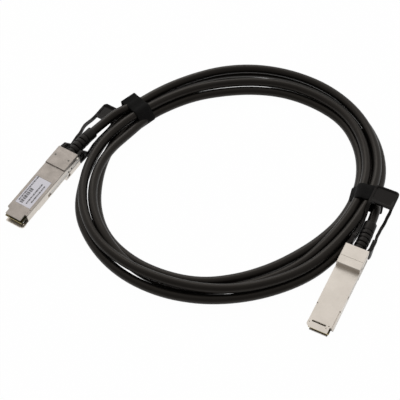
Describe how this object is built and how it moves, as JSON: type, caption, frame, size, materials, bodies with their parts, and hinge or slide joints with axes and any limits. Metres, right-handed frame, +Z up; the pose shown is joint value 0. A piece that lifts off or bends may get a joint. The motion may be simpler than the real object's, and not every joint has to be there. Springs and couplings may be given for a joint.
{
  "type": "direct attach copper cable",
  "caption": "Passive copper network cable with a metal plug module at each end, wound into a loose oval coil held by two hook-and-loop straps.",
  "frame": {"origin": "middle of the lowest plane of the box round both modules and their pull tabs, on the surface the cable lies on", "axes": "+X from the left module towards the right one, along the longest side of that box; +Z up from the surface, along its shortest side; +Y away from the modules' lips"},
  "size_m": [0.2978, 0.2592, 0.0188],
  "materials": {
    "boot_rubber": "moulded, matt",
    "cable_jacket": "soft sheen PVC",
    "card_laminate": "solder-mask coated laminate",
    "chip_body": "moulded component body",
    "ferrule_brass": "crimped, dull",
    "label_film": "printed film",
    "module_metal": "satin nickel-plated die casting",
    "pad_gold": "gold-plated copper",
    "pair_jacket": "foil-wrapped conductor pairs",
    "rivet_steel": "plain",
    "slide_steel": "stamped sheet",
    "spring_wire": "drawn wire",
    "strap_fabric": "hook-and-loop tape",
    "tab_plastic": "moulded nylon, fine grain"
  },
  "bodies": {
    "cable": {"cable_coil": "cable_jacket", "left_belly_cover": "module_metal", "left_cable_stub": "cable_jacket", "left_card_chips": "chip_body", "left_conductor_pairs": "pair_jacket", "left_contact_pads": "pad_gold", "left_crimp_ferrule": "ferrule_brass", "left_label": "label_film", "left_lead": "cable_jacket", "left_paddle_card": "card_laminate", "left_return_springs": "spring_wire", "left_rivets": "rivet_steel", "left_strain_relief": "boot_rubber", "left_strap": "strap_fabric", "left_top_shell": "module_metal", "right_belly_cover": "module_metal", "right_cable_stub": "cable_jacket", "right_card_chips": "chip_body", "right_conductor_pairs": "pair_jacket", "right_contact_pads": "pad_gold", "right_crimp_ferrule": "ferrule_brass", "right_lead": "cable_jacket", "right_paddle_card": "card_laminate", "right_return_springs": "spring_wire", "right_rivets": "rivet_steel", "right_strain_relief": "boot_rubber", "right_strap": "strap_fabric", "right_top_shell": "module_metal"},
    "left_latch": {"left_release_slide": "slide_steel", "left_pull_tab": "tab_plastic"},
    "right_latch": {"right_release_slide": "slide_steel", "right_pull_tab": "tab_plastic"}
  },
  "joints": [
    {"name": "left_release", "type": "slide", "parent": "cable", "child": "left_latch", "axis": [0.5264, 0.8473, 0.0712], "range_m": [0, 0.0022], "stiffness_N_per_m": 500, "springref_m": -0.003, "deforming": ["left_return_springs"]},
    {"name": "right_release", "type": "slide", "parent": "cable", "child": "right_latch", "axis": [0.45, 0.8929, 0.0167], "range_m": [0, 0.0022], "stiffness_N_per_m": 500, "springref_m": -0.003, "deforming": ["right_return_springs"]}
  ]
}
